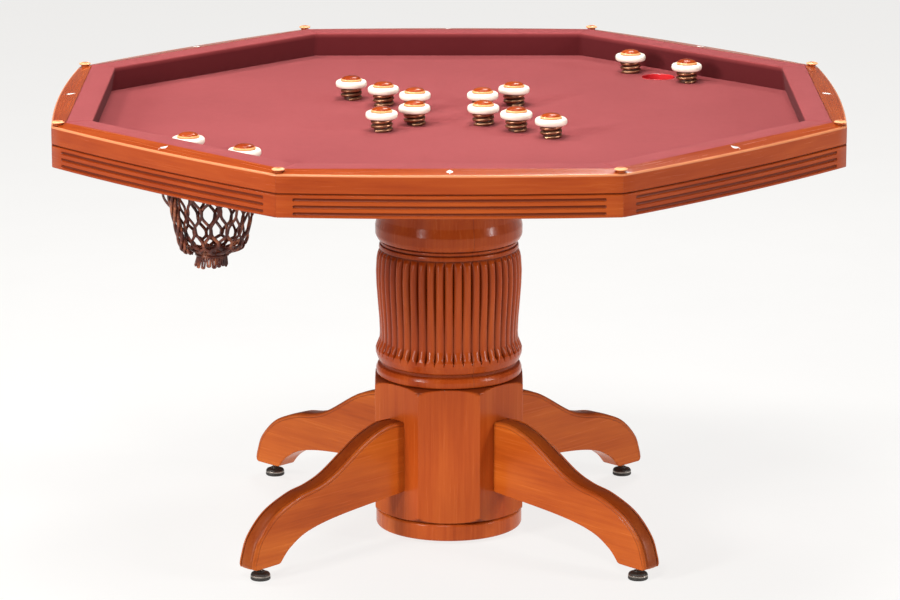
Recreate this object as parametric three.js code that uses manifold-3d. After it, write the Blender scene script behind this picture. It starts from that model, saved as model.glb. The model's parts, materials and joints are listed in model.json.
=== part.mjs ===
// An octagonal bumper pool table on a turned and reeded wooden pedestal.
// Millimetres, +Z up. The origin is on the floor under the middle of the table.
// A flat side of the octagon faces -Y, and the two pockets lie on the diagonal
// from front left to back right.
import * as THREE from "three";
import { mergeVertices } from "three/addons/utils/BufferGeometryUtils.js";
import Module from "manifold-3d";

const wasm = await Module();
wasm.setup();

// Driving dimensions.
const GAP = 0.3; // between pieces that touch
const SIDES = 8;
const TOP_Z = 787; // the rail's outer edge above the floor
const CORNER_RADIUS = 730; // from the centre to the rail's outer corners
const SIDE_BOW = 11.6; // how far the middle of each side stands out from a straight side

const RAIL = { height: 71, inner: 650, rise: 4.5, round: 3, grooveDrop: 31.8, grooveSize: 2.6, foot: 1.5 };
const CUSHION = { nose: 606, noseRise: 3, noseRound: 2.5, undercut: 4 };
const BED = { drop: 41, thickness: 22 };

const POCKET_REACH = 550; // from the centre to each pocket, along the diagonal
const LINER = { bore: 29, wall: 2.5, lipRadius: 33.5, lipThickness: 2.7, bottomZ: 712 };
const NET = { topRadius: 74, bottomRadius: 48, wall: 4.5, floorZ: 593, tasselZ: 566, tasselRadius: 23 };

// Bumpers: a coil spring on the bed, with a rubber ring and a wooden cap on top of it.
const CROSS_ALONG = [85, 165]; // bumpers of the centre cross on the diagonal with the pockets
const CROSS_ACROSS = [85, 165, 248]; // bumpers of the centre cross on the other diagonal
const POCKET_SIDE = 70; // from a pocket's centre to the bumper at each side of it
const SPRING = { radius: 16.5, wire: 4.6, height: 22, turns: 2.25 };
const HEAD = { cupRadius: 20, ringRadius: 28, ringHeight: 12.6, ringMiddle: 29, capRadius: 18.5, top: 44 };

const COLUMN = { plateRadius: 190, plateThickness: 23, radius: 129.6, bottomZ: 284.6 };
const BLOCK = { apothem: 131.4, topZ: 284.3, bottomZ: 40, shoulder: 14 };
const PLINTH = { radius: 130.4, topZ: 39.7, bottomZ: 7.5 };
const LEG = { thickness: 39, footReach: 461, soleZ: 24, boreTopZ: 66 };
const LEVELLER = { discRadius: 17.5, discHeight: 14, stemRadius: 4.4, stemTopZ: 56 };

// What follows from them.
const SIDE_ANGLE = (2 * Math.PI) / SIDES;
const HALF_SIDE = SIDE_ANGLE / 2;
const RAIL_APOTHEM = CORNER_RADIUS * Math.cos(HALF_SIDE);
const BED_Z = TOP_Z - BED.drop;
const BED_BOTTOM_Z = BED_Z - BED.thickness;
const DIAGONAL = Math.PI / 4;

const finish = (color, roughness, metalness = 0) => ({ color, roughness, metalness });
const FINISHES = {
  wood: finish(0xb0542a, 0.3),
  cloth: finish(0xb84e55, 0.95),
  liner: finish(0xc8242a, 0.25),
  net: finish(0x5a2d1c, 0.7),
  spring: finish(0x8c6a48, 0.35, 1),
  bumper: finish(0xf6efe0, 0.5),
  leveller: finish(0x2a2826, 0.6),
};

const point = (x, y) => new THREE.Vector2(x, y);

// A closed geometry whose shared corners are merged.
function closed(geometry) {
  const bare = geometry.clone();
  bare.deleteAttribute("normal");
  bare.deleteAttribute("uv");
  return mergeVertices(bare, 1e-3);
}

// A piece turned on a lathe round Z; its outline runs from the bottom of the axis up to the top.
function turned(outline, segments) {
  const geometry = new THREE.LatheGeometry(outline, segments);
  geometry.rotateX(Math.PI / 2);
  return closed(geometry);
}

function toSolid(geometry) {
  const merged = closed(geometry);
  return new wasm.Manifold(
    new wasm.Mesh({
      numProp: 3,
      vertProperties: merged.attributes.position.array,
      triVerts: new Uint32Array(merged.index.array),
    }),
  );
}

function toGeometry(solid) {
  const mesh = solid.getMesh();
  const geometry = new THREE.BufferGeometry();
  geometry.setAttribute("position", new THREE.BufferAttribute(mesh.vertProperties, 3));
  geometry.setIndex(new THREE.BufferAttribute(mesh.triVerts, 1));
  geometry.computeVertexNormals();
  return geometry;
}

function cut(geometry, ...cutters) {
  return toGeometry(cutters.reduce((left, cutter) => left.subtract(toSolid(cutter)), toSolid(geometry)));
}

// An upright cylinder between two heights.
function post(radius, bottomZ, topZ, segments) {
  const geometry = new THREE.CylinderGeometry(radius, radius, topZ - bottomZ, segments);
  geometry.rotateX(Math.PI / 2);
  geometry.translate(0, 0, (bottomZ + topZ) / 2);
  return geometry;
}

// An upright octagonal prism with a flat side facing each way.
function octagon(apothem, bottomZ, topZ) {
  const geometry = post(apothem / Math.cos(HALF_SIDE), bottomZ, topZ, SIDES);
  geometry.rotateZ(HALF_SIDE);
  return geometry;
}

// One side of the octagon with mitred ends, centred on +X. The section's x runs outwards from the
// table's centre and its y is the height; bowed says whether a point follows the bowed side.
function mitredSide(section, steps, bowed) {
  const geometry = new THREE.ExtrudeGeometry(new THREE.Shape(section), {
    depth: 2,
    steps,
    bevelEnabled: false,
  });
  const place = geometry.attributes.position;
  for (let i = 0; i < place.count; i++) {
    const out = place.getX(i);
    const height = place.getY(i);
    const along = 1 - place.getZ(i); // 1 at one mitre, -1 at the other
    const bow = bowed(out) ? SIDE_BOW * (1 - along * along) : 0;
    const reach = out * Math.tan(HALF_SIDE) - GAP / 2 / Math.cos(HALF_SIDE);
    place.setXYZ(i, out + bow, along * reach, height);
  }
  return closed(geometry);
}

function railGeometry() {
  const outer = RAIL_APOTHEM;
  const bottom = TOP_Z - RAIL.height;
  const groove = TOP_Z - RAIL.grooveDrop;
  const arris = RAIL.round * (1 - Math.SQRT1_2);
  return mitredSide(
    [
      point(RAIL.inner, bottom),
      point(outer - RAIL.foot, bottom),
      point(outer, bottom + RAIL.foot),
      point(outer, groove - RAIL.grooveSize),
      point(outer - RAIL.grooveSize, groove),
      point(outer, groove + RAIL.grooveSize),
      point(outer, TOP_Z - RAIL.round),
      point(outer - arris, TOP_Z - arris),
      point(outer - RAIL.round, TOP_Z),
      point(RAIL.inner, TOP_Z + RAIL.rise),
    ],
    4,
    (out) => out > RAIL.inner + 1,
  );
}

function cushionGeometry() {
  const back = RAIL.inner - GAP;
  const bottom = BED_Z + GAP;
  const nose = CUSHION.nose;
  const noseTop = TOP_Z + CUSHION.noseRise;
  const round = CUSHION.noseRound;
  return mitredSide(
    [
      point(back, bottom),
      point(back, TOP_Z + RAIL.rise),
      point(nose + 4 * round, noseTop),
      point(nose + round, noseTop - 0.4),
      point(nose, noseTop - round),
      point(nose, noseTop - 3 * round),
      point(nose + CUSHION.undercut, bottom),
    ],
    1,
    () => false,
  );
}

const onDiagonal = (along, across) => [
  (along - across) * Math.cos(DIAGONAL),
  (along + across) * Math.sin(DIAGONAL),
];
const POCKETS = [onDiagonal(-POCKET_REACH, 0), onDiagonal(POCKET_REACH, 0)];

// The bed, with a stepped hole for each pocket's liner.
function bedGeometry() {
  const cutters = POCKETS.flatMap(([x, y]) => [
    post(LINER.bore + LINER.wall + GAP, BED_BOTTOM_Z - 1, BED_Z + 1, 24).translate(x, y, 0),
    post(LINER.lipRadius + GAP, BED_Z - LINER.lipThickness - GAP, BED_Z + 1, 24).translate(x, y, 0),
  ]);
  return cut(octagon(RAIL.inner - GAP, BED_BOTTOM_Z, BED_Z), ...cutters);
}

function linerGeometry() {
  const outer = LINER.bore + LINER.wall;
  const underLip = BED_Z - LINER.lipThickness;
  return turned(
    [
      point(LINER.bore, LINER.bottomZ),
      point(outer, LINER.bottomZ),
      point(outer, underLip),
      point(LINER.lipRadius, underLip),
      point(LINER.lipRadius, BED_Z),
      point(LINER.bore + 1, BED_Z),
      point(LINER.bore, BED_Z - 1),
      point(LINER.bore, LINER.bottomZ),
    ],
    24,
  );
}

// A net's outer radius at a height, from its closed floor to its mouth under the bed.
function netRadius(z) {
  const share = (z - NET.floorZ) / (BED_BOTTOM_Z - NET.floorZ);
  return THREE.MathUtils.lerp(NET.bottomRadius, NET.topRadius, Math.sin((share * Math.PI) / 2));
}

// An open bag with a gathered tassel under its floor.
function netGeometry() {
  const mouthZ = BED_BOTTOM_Z - GAP;
  const levels = [0.08, 0.35, 0.65, 1].map((share) => THREE.MathUtils.lerp(NET.floorZ, mouthZ, share));
  const floorRadius = NET.bottomRadius - NET.wall - 4;
  return turned(
    [
      point(0, NET.tasselZ),
      point(NET.tasselRadius, NET.tasselZ),
      point(NET.tasselRadius - 5, NET.floorZ - 6),
      point(floorRadius, NET.floorZ),
      ...levels.map((z) => point(netRadius(z), z)),
      ...levels.reverse().map((z) => point(netRadius(z) - NET.wall, z)),
      point(floorRadius - 4, NET.floorZ + NET.wall),
      point(0, NET.floorZ + NET.wall),
    ],
    18,
  );
}

// The wire of one spring, wound from the bed up to the bumper's head.
class Coil extends THREE.Curve {
  getPoint(share, target = new THREE.Vector3()) {
    const angle = share * SPRING.turns * 2 * Math.PI;
    const low = SPRING.wire / 2 + GAP;
    const high = SPRING.height - SPRING.wire / 2 - GAP;
    const height = BED_Z + THREE.MathUtils.lerp(low, high, share);
    return target.set(SPRING.radius * Math.cos(angle), SPRING.radius * Math.sin(angle), height);
  }
}

function springGeometry() {
  const wire = new THREE.Shape();
  wire.absarc(0, 0, SPRING.wire / 2, 0, 2 * Math.PI);
  return closed(
    new THREE.ExtrudeGeometry(wire, {
      steps: 20,
      curveSegments: 3,
      bevelEnabled: false,
      extrudePath: new Coil(),
    }),
  );
}

// A bumper's head: metal cup, rubber ring and domed wooden cap in one turned outline.
function headGeometry() {
  const base = BED_Z + SPRING.height + GAP;
  const middle = BED_Z + HEAD.ringMiddle;
  const half = HEAD.ringHeight / 2;
  return turned(
    [
      point(0, base),
      point(HEAD.cupRadius, base),
      point(HEAD.ringRadius - 2, middle - half * 0.7),
      point(HEAD.ringRadius, middle),
      point(HEAD.ringRadius - 2, middle + half * 0.7),
      point(HEAD.capRadius, middle + half),
      point(HEAD.capRadius, BED_Z + HEAD.top - 6),
      point(HEAD.capRadius - 4, BED_Z + HEAD.top - 2),
      point(0, BED_Z + HEAD.top),
    ],
    14,
  );
}

function columnGeometry() {
  const r = COLUMN.radius;
  const plateTop = BED_BOTTOM_Z - GAP;
  const plateBottom = plateTop - COLUMN.plateThickness;
  return turned(
    [
      point(0, COLUMN.bottomZ),
      point(r - 4, COLUMN.bottomZ),
      point(r, 294.5), // collar
      point(r - 3, 303),
      point(r - 8, 307),
      point(r - 1, 320), // plain band
      point(r, 331), // foot of the reeding
      point(r - 4.5, 346),
      point(r - 6.5, 358), // the waist
      point(r - 4.5, 398),
      point(r, 466), // the bulge
      point(r - 2, 500),
      point(r - 6, 511.5), // top of the reeding, and two rings
      point(r - 8.5, 525),
      point(r - 3, 536), // the bulbous cap
      point(r + 0.4, 551),
      point(r - 2, 571),
      point(r - 4, plateBottom),
      point(COLUMN.plateRadius, plateBottom),
      point(COLUMN.plateRadius, plateTop),
      point(0, plateTop),
    ],
    32,
  );
}

// An octagonal block whose ends are turned down to round shoulders.
function blockGeometry() {
  const tip = PLINTH.radius - 3;
  const corner = BLOCK.apothem / Math.cos(HALF_SIDE) + 1;
  const blank = turned(
    [
      point(0, BLOCK.bottomZ),
      point(tip, BLOCK.bottomZ),
      point(corner - 4, BLOCK.bottomZ + BLOCK.shoulder * 0.6),
      point(corner, BLOCK.bottomZ + BLOCK.shoulder),
      point(corner, BLOCK.topZ - BLOCK.shoulder),
      point(corner - 4, BLOCK.topZ - BLOCK.shoulder * 0.6),
      point(tip, BLOCK.topZ),
      point(0, BLOCK.topZ),
    ],
    40,
  );
  const prism = octagon(BLOCK.apothem, BLOCK.bottomZ - 1, BLOCK.topZ + 1);
  return toGeometry(toSolid(prism).intersect(toSolid(blank)));
}

function plinthGeometry() {
  const r = PLINTH.radius;
  return turned(
    [
      point(0, PLINTH.bottomZ),
      point(r - 2, PLINTH.bottomZ),
      point(r, PLINTH.bottomZ + 2),
      point(r, PLINTH.topZ - 7),
      point(r - 2, PLINTH.topZ - 2),
      point(r - 6, PLINTH.topZ),
      point(0, PLINTH.topZ),
    ],
    32,
  );
}

// A scrolled leg seen from the side: x runs outwards from the block, y is the height.
function legGeometry() {
  const face = BLOCK.apothem + GAP;
  const outline = new THREE.Shape();
  outline.moveTo(face, 221);
  outline.splineThru([
    point(165, 222),
    point(198, 214),
    point(232, 199),
    point(298, 160),
    point(340, 145),
    point(385, 136.5),
    point(440, 114),
    point(478, 78),
    point(492, 45),
    point(495, LEG.soleZ),
  ]);
  outline.lineTo(430, LEG.soleZ);
  outline.splineThru([point(408, 48), point(365, 69), point(285, 82), point(face, 92)]);
  const geometry = new THREE.ExtrudeGeometry(outline, {
    depth: LEG.thickness,
    curveSegments: 2,
    bevelEnabled: false,
  });
  geometry.rotateX(Math.PI / 2);
  geometry.translate(0, LEG.thickness / 2, 0);
  const bore = post(LEVELLER.stemRadius + GAP, LEG.soleZ - 1, LEG.boreTopZ, 12);
  bore.translate(LEG.footReach, 0, 0);
  return cut(geometry, bore);
}

// A levelling foot: a round pad on a threaded stem that screws into the leg.
function levellerGeometry() {
  const pad = LEVELLER.discRadius;
  const stem = LEVELLER.stemRadius;
  const geometry = turned(
    [
      point(0, 0),
      point(pad - 1.5, 0),
      point(pad, 1.5),
      point(pad, 8.5),
      point(pad - 3, 11.5),
      point(stem + 3, LEVELLER.discHeight),
      point(stem, LEVELLER.discHeight),
      point(stem, LEVELLER.stemTopZ),
      point(0, LEVELLER.stemTopZ),
    ],
    12,
  );
  geometry.translate(LEG.footReach, 0, 0);
  return geometry;
}

// The assembly.
const table = new THREE.Group();

function add(name, geometry, look) {
  geometry.computeVertexNormals();
  const material = new THREE.MeshStandardMaterial({ ...FINISHES[look], flatShading: true });
  const mesh = new THREE.Mesh(geometry, material);
  mesh.name = name;
  table.add(mesh);
  return mesh;
}

for (let side = 1; side <= SIDES; side++) {
  add(`rail_${side}`, railGeometry(), "wood").rotation.z = (side - 1) * SIDE_ANGLE;
  add(`cushion_${side}`, cushionGeometry(), "cloth").rotation.z = (side - 1) * SIDE_ANGLE;
}
add("bed", bedGeometry(), "cloth");

POCKETS.forEach(([x, y], i) => {
  add(`pocket_liner_${i + 1}`, linerGeometry(), "liner").position.set(x, y, 0);
  add(`pocket_net_${i + 1}`, netGeometry(), "net").position.set(x, y, 0);
});

// The centre cross first, then the pair at each pocket.
const BUMPERS = [
  ...CROSS_ALONG.flatMap((reach) => [onDiagonal(-reach, 0), onDiagonal(reach, 0)]),
  ...CROSS_ACROSS.flatMap((reach) => [onDiagonal(0, -reach), onDiagonal(0, reach)]),
  ...[-POCKET_REACH, POCKET_REACH].flatMap((reach) => [
    onDiagonal(reach, -POCKET_SIDE),
    onDiagonal(reach, POCKET_SIDE),
  ]),
];
BUMPERS.forEach(([x, y], i) => {
  const number = String(i + 1).padStart(2, "0");
  add(`bumper_spring_${number}`, springGeometry(), "spring").position.set(x, y, 0);
  add(`bumper_head_${number}`, headGeometry(), "bumper").position.set(x, y, 0);
});

add("turned_column", columnGeometry(), "wood");
add("pedestal_block", blockGeometry(), "wood");
add("plinth", plinthGeometry(), "wood");
for (let corner = 1; corner <= 4; corner++) {
  const angle = DIAGONAL + ((corner - 1) * Math.PI) / 2;
  add(`leg_${corner}`, legGeometry(), "wood").rotation.z = angle;
  add(`leveller_${corner}`, levellerGeometry(), "leveller").rotation.z = angle;
}

export default table;
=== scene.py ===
"""The finished look of the octagonal bumper pool table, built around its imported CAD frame."""
import json
import math

import bmesh
import bpy
from mathutils import Matrix, Vector


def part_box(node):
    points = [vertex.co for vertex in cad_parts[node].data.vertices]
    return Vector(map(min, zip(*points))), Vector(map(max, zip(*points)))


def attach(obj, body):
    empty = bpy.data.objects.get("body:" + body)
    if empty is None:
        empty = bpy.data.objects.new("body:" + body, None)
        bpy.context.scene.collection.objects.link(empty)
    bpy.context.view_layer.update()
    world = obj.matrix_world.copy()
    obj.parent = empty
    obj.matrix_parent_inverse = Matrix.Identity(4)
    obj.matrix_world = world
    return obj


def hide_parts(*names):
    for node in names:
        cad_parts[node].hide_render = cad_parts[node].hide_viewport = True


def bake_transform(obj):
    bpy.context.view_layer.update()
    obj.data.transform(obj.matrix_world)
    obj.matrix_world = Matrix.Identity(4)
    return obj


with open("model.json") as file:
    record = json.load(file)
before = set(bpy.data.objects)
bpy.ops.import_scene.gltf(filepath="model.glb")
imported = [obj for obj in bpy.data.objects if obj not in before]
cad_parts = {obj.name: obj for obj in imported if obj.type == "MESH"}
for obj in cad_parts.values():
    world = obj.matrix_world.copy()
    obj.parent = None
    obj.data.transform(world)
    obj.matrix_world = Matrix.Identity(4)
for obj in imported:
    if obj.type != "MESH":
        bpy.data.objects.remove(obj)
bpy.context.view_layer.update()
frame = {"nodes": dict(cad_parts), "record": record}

MM = 0.001
SIDES = 8
HALF_SIDE = math.pi / SIDES
DIAGONAL = math.pi / 4
ROOT = "table"

# Places taken from the frame, in metres.
RAIL_LOW, RAIL_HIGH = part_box("rail_1")
BED_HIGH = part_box("bed")[1]
NET_LOW, NET_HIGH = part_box("pocket_net_1")
LINER_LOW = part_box("pocket_liner_1")[0]
HEAD_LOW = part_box("bumper_head_01")[0]
COLUMN_LOW, COLUMN_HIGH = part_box("turned_column")
BLOCK_LOW, BLOCK_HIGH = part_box("pedestal_block")
PLINTH_LOW, PLINTH_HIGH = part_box("plinth")
LEVELLER_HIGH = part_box("leveller_1")[1]
RAIL_RISE = 4.5 * MM  # from a rail's outer edge up to the cushion
TOP_Z = RAIL_HIGH.z - RAIL_RISE
BED_Z = BED_HIGH.z


def middle(node):
    low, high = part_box(node)
    return (low + high) / 2


def body_of(node):
    """The name of the CAD body that a node belongs to."""
    bodies = frame["record"]["behaviour"]["bodies"]
    return next(body for body, nodes in bodies.items() if node in nodes)


def add_object(name, data):
    obj = bpy.data.objects.new(name, data)
    bpy.context.scene.collection.objects.link(obj)
    return obj


def polar(radius, angle, height=0.0):
    return Vector((radius * math.cos(angle), radius * math.sin(angle), height))


# -------- camera, light and floor


def make_camera():
    """A long lens in front of the table, a little above it."""
    data = bpy.data.cameras.new("camera")
    data.lens, data.sensor_width = 165.1, 36
    data.clip_start, data.clip_end = 0.1, 200
    camera = add_object("camera", data)
    camera.location = (-0.0143, -7.141, 2.152)
    camera.rotation_euler = (math.radians(90 - 13.661), 0, math.radians(-0.131))
    bpy.context.scene.camera = camera


def area_light(name, place, target, size, power, colour=(1, 1, 1)):
    data = bpy.data.lights.new(name, "AREA")
    data.shape, data.size, data.size_y = "RECTANGLE", size[0], size[1]
    data.energy, data.color = power, colour
    light = add_object(name, data)
    light.location = place
    light.rotation_euler = (Vector(target) - Vector(place)).to_track_quat("-Z", "Y").to_euler()


def set_stops(ramp, stops):
    """Gives a colour ramp its (position, colour) stops."""
    elements = ramp.color_ramp.elements
    while len(elements) < len(stops):
        elements.new(0.5)
    for element, (position, colour) in zip(elements, stops):
        element.position = position
        element.color = (*colour, 1)


def make_studio():
    """A wide soft light overhead, small ones at the sides for highlights, and a pale horizon."""
    scene = bpy.context.scene
    scene.view_settings.view_transform = "Standard"
    world = bpy.data.worlds.new("studio")
    scene.world = world
    world.use_nodes = True
    nodes, links = world.node_tree.nodes, world.node_tree.links
    axes = nodes.new("ShaderNodeSeparateXYZ")
    links.new(nodes.new("ShaderNodeTexCoord").outputs["Generated"], axes.inputs[0])
    ramp = nodes.new("ShaderNodeValToRGB")
    levels = ((0.0, 0.85), (0.03, 0.55), (0.08, 0.26), (0.16, 0.12), (0.5, 0.10), (1.0, 0.2))
    set_stops(ramp, [(height, (level, level * 0.99, level * 0.975)) for height, level in levels])
    links.new(axes.outputs["Z"], ramp.inputs["Fac"])
    links.new(ramp.outputs["Color"], nodes["Background"].inputs["Color"])
    area_light("top_light", (-0.1, -0.2, 3.3), (0, 0, 0.7), (1.4, 1.1), 72, (1, 0.985, 0.96))
    area_light("key_light", (-2.9, -2.6, 2.0), (0, 0, 0.4), (0.7, 0.7), 96, (1, 0.97, 0.93))
    area_light("front_light", (-0.6, -3.2, 3.0), (0, 0, 0.4), (0.8, 0.5), 60, (1, 0.97, 0.93))
    area_light("left_light", (-2.3, 0.3, 3.6), (0, 0, 0.7), (0.6, 0.6), 62, (1, 0.98, 0.95))
    area_light("right_light", (3.5, -1.6, 1.8), (0, 0, 0.4), (0.5, 0.6), 54, (1, 0.98, 0.96))
    area_light("low_left_light", (-2.6, -2.7, 1.15), (0, 0, 0.5), (0.34, 0.3), 26)
    area_light("low_right_light", (3.5, -1.3, 1.1), (0, 0, 0.5), (0.3, 0.3), 22)
    area_light("back_light", (0.6, 2.6, 3.6), (0, 0, 0.5), (0.9, 0.8), 55)


def make_floor():
    bpy.ops.mesh.primitive_circle_add(vertices=96, radius=60, fill_type="NGON")
    floor = bpy.context.object
    floor.name = "studio_floor"
    floor.data.materials.append(floor_material())


# -------- material nodes


class Nodes:
    """A material's node tree with short calls to add and join nodes."""

    def __init__(self, name):
        self.material = bpy.data.materials.new(name)
        self.material.use_nodes = True
        self.tree = self.material.node_tree
        self.surface = self.tree.nodes["Principled BSDF"]

    def add(self, kind, **settings):
        node = self.tree.nodes.new("ShaderNode" + kind)
        for name, value in settings.items():
            setattr(node, name, value)
        return node

    def join(self, output, socket):
        self.tree.links.new(output, socket)

    def put(self, node, values):
        """Sets or links a node's inputs by name."""
        for name, value in values.items():
            if isinstance(value, bpy.types.NodeSocket):
                self.join(value, node.inputs[name])
            else:
                node.inputs[name].default_value = value
        return node

    def finish(self, **values):
        self.put(self.surface, {name.replace("_", " "): value for name, value in values.items()})
        return self.material

    def place(self, scale=(1, 1, 1), shift=None):
        """The piece's own coordinates, scaled and, with shift, moved by a different amount on each piece."""
        coordinates = self.add("TexCoord").outputs["Object"]
        if shift is not None:
            amount = self.maths("MULTIPLY", self.add("ObjectInfo").outputs["Random"], shift)
            moved = self.add("VectorMath", operation="ADD")
            self.join(coordinates, moved.inputs[0])
            self.join(amount, moved.inputs[1])
            coordinates = moved.outputs[0]
        mapping = self.add("Mapping")
        mapping.inputs["Scale"].default_value = scale
        self.join(coordinates, mapping.inputs["Vector"])
        return mapping.outputs["Vector"]

    def noise(self, vector, scale, detail=4.0, roughness=0.55, distortion=0.0):
        values = {
            "Vector": vector,
            "Scale": scale,
            "Detail": detail,
            "Roughness": roughness,
            "Distortion": distortion,
        }
        return self.put(self.add("TexNoise"), values).outputs["Fac"]

    def maths(self, operation, a, b=None, clamp=False):
        node = self.add("Math", operation=operation, use_clamp=clamp)
        for socket, value in zip(node.inputs, (a, b)):
            if isinstance(value, bpy.types.NodeSocket):
                self.join(value, socket)
            elif value is not None:
                socket.default_value = value
        return node.outputs[0]

    def spread(self, value, low, high, to_low=0.0, to_high=1.0):
        node = self.add("MapRange")
        values = {"Value": value, "From Min": low, "From Max": high, "To Min": to_low, "To Max": to_high}
        return self.put(node, values).outputs["Result"]

    def ramp(self, value, stops):
        node = self.add("ValToRGB")
        set_stops(node, stops)
        self.join(value, node.inputs["Fac"])
        return node.outputs["Color"]

    def mix(self, share, a, b, blend="MIX"):
        node = self.add("Mix", data_type="RGBA", blend_type=blend)
        for socket, value in zip((node.inputs[0], node.inputs[6], node.inputs[7]), (share, a, b)):
            if isinstance(value, bpy.types.NodeSocket):
                self.join(value, socket)
            elif isinstance(value, tuple):
                socket.default_value = (*value, 1)
            else:
                socket.default_value = value
        return node.outputs[2]

    def bump(self, height, distance, strength=1.0, under=None):
        values = {"Height": height, "Distance": distance, "Strength": strength}
        if under is not None:
            values["Normal"] = under
        return self.put(self.add("Bump"), values).outputs["Normal"]

    def attribute(self, name):
        return self.add("Attribute", attribute_name=name).outputs["Fac"]


def floor_material():
    n = Nodes("studio_floor")
    grain = n.noise(n.place(), 3.0, 3)
    colour = n.ramp(grain, [(0.3, (0.115, 0.115, 0.114)), (0.7, (0.125, 0.125, 0.124))])
    return n.finish(
        Base_Color=colour,
        Roughness=0.9,
        Emission_Color=(1, 0.99, 0.975, 1),
        Emission_Strength=0.8,
    )


# Lacquered wood, darkest first, as linear colours.
WOOD_DARK = (0.22, 0.026, 0.003)
WOOD_DEEP = (0.35, 0.049, 0.005)
WOOD_MAIN = (0.43, 0.072, 0.008)
WOOD_PALE = (0.53, 0.110, 0.014)
# Dark colour for glaze, joints and painted shade in grooves and hollows.
WOOD_GLAZE_AND_SHADE = (0.082, 0.009, 0.0015)
# Pale colour for painted highlights on rail edges and button tops.
WOOD_PAINTED_HIGHLIGHT = (0.92, 0.42, 0.20)
STAVE_TURN = math.radians(70.2)  # from the first seam between staves to X


def wood_material(name, grain, tint=(1, 1, 1), staves=0, polish=0.16):
    """Orange-brown lacquered wood with its grain along the piece's own axis grain (0, 1 or 2).

    A per-vertex attribute darkens grooves, partly as glaze and partly as painted shade, and below 0 it paints
    a pale highlight on edges.
    With staves, the piece is glued from that many wedges round Z."""
    n = Nodes(name)
    fine = tuple(7.0 if axis == grain else 230.0 for axis in range(3))
    broad = tuple(1.1 if axis == grain else 14.0 for axis in range(3))
    place = n.place(shift=3.7)
    streak = n.noise(n.place(broad, shift=3.7), 1.0, 6, 0.62, 0.35)
    fibre = n.noise(n.place(fine, shift=3.7), 1.0, 5, 0.6)
    cloud = n.noise(place, 5.0, 3, 0.5)
    figure = n.maths("ADD", n.maths("MULTIPLY", streak, 0.62), n.maths("MULTIPLY", fibre, 0.22))
    figure = n.maths("ADD", figure, n.maths("MULTIPLY", cloud, 0.16))
    if staves:
        axes = n.add("SeparateXYZ")
        n.join(n.add("TexCoord").outputs["Object"], axes.inputs[0])
        turn = n.maths("ARCTAN2", axes.outputs["Y"], axes.outputs["X"])
        turns = n.maths("MULTIPLY", n.maths("ADD", turn, STAVE_TURN), staves / (2 * math.pi))
        stave = n.maths("FLOOR", turns)
        across = n.maths("SUBTRACT", turns, stave)
        edge = n.maths("ABSOLUTE", n.maths("SUBTRACT", across, 0.5))
        seam = n.spread(edge, 0.5 - 0.0017 * staves, 0.5 - 0.0006 * staves)
        shade = n.add("TexWhiteNoise", noise_dimensions="1D")
        n.join(n.maths("ADD", stave, 0.3), shade.inputs["W"])
        figure = n.maths("ADD", figure, n.spread(shade.outputs["Value"], 0, 1, -0.045, 0.045))
    stops = [(0.30, WOOD_DARK), (0.42, WOOD_DEEP), (0.53, WOOD_MAIN), (0.68, WOOD_PALE)]
    tinted = [(position, tuple(c * t for c, t in zip(colour, tint))) for position, colour in stops]
    colour = n.ramp(figure, tinted)
    given = n.attribute("glaze_and_painted_light")
    # Where the attribute is below 0 it gives a painted highlight.
    wear_and_highlight = n.maths("MULTIPLY", given, -1.0, clamp=True)
    glaze_and_painted_light = n.maths("MAXIMUM", given, 0.0)
    if staves:
        glaze_and_painted_light = n.maths("ADD", glaze_and_painted_light, n.maths("MULTIPLY", seam, 0.35), clamp=True)
    # Darken toward the dark colour: real glaze and joints, and painted shade.
    colour = n.mix(n.maths("MULTIPLY", glaze_and_painted_light, 0.9), colour, WOOD_GLAZE_AND_SHADE)
    colour = n.mix(wear_and_highlight, colour, WOOD_PAINTED_HIGHLIGHT)
    roughness = n.spread(fibre, 0.3, 0.7, polish, polish + 0.14)
    return n.finish(
        Base_Color=colour,
        Roughness=n.maths("ADD", roughness, n.maths("MULTIPLY", glaze_and_painted_light, 0.25)),
        Specular_IOR_Level=0.17,
        Normal=n.bump(fibre, 0.00012, 0.35),
    )


# The colour of the painted shade under a cushion's nose.
CLOTH_SHADE = (0.07, 0.006, 0.009)
THREAD_PITCHES = (("X", 0.0016), ("Y", 0.0013))  # in metres


def cloth_material():
    """Burgundy billiard cloth: a fine twill with a short nap, with painted shade on the face under each
    cushion's nose.
    """
    n = Nodes("billiard_cloth")
    place = n.place()
    axes = n.add("SeparateXYZ")
    n.join(place, axes.inputs[0])
    threads = []
    for axis, pitch in THREAD_PITCHES:
        threads.append(n.maths("SINE", n.maths("MULTIPLY", axes.outputs[axis], 2 * math.pi / pitch)))
    weave = n.maths("MULTIPLY", threads[0], threads[1])
    nap = n.noise(place, 900.0, 3, 0.7)
    patch = n.noise(place, 4.5, 4, 0.5)
    fleck = n.noise(place, 60.0, 4, 0.65)
    share = n.maths("ADD", n.maths("MULTIPLY", patch, 0.5), n.maths("MULTIPLY", fleck, 0.3))
    share = n.maths("ADD", share, n.maths("MULTIPLY", nap, 0.2))
    stops = [(0.32, (0.222, 0.041, 0.044)), (0.5, (0.248, 0.047, 0.050)), (0.68, (0.273, 0.054, 0.057))]
    # Painted shade from the per-vertex attribute, on the face under a cushion's nose.
    shade = n.maths("MULTIPLY", n.attribute("glaze_and_painted_light"), 0.8, clamp=True)
    height = n.maths("ADD", n.maths("MULTIPLY", weave, 0.35), nap)
    return n.finish(
        Base_Color=n.mix(shade, n.ramp(share, stops), CLOTH_SHADE),
        Roughness=0.92,
        Specular_IOR_Level=0.08,
        Sheen_Weight=0.06,
        Sheen_Roughness=0.5,
        Sheen_Tint=(1, 0.6, 0.62, 1),
        Normal=n.bump(height, 0.0003, 0.5),
    )


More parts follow.
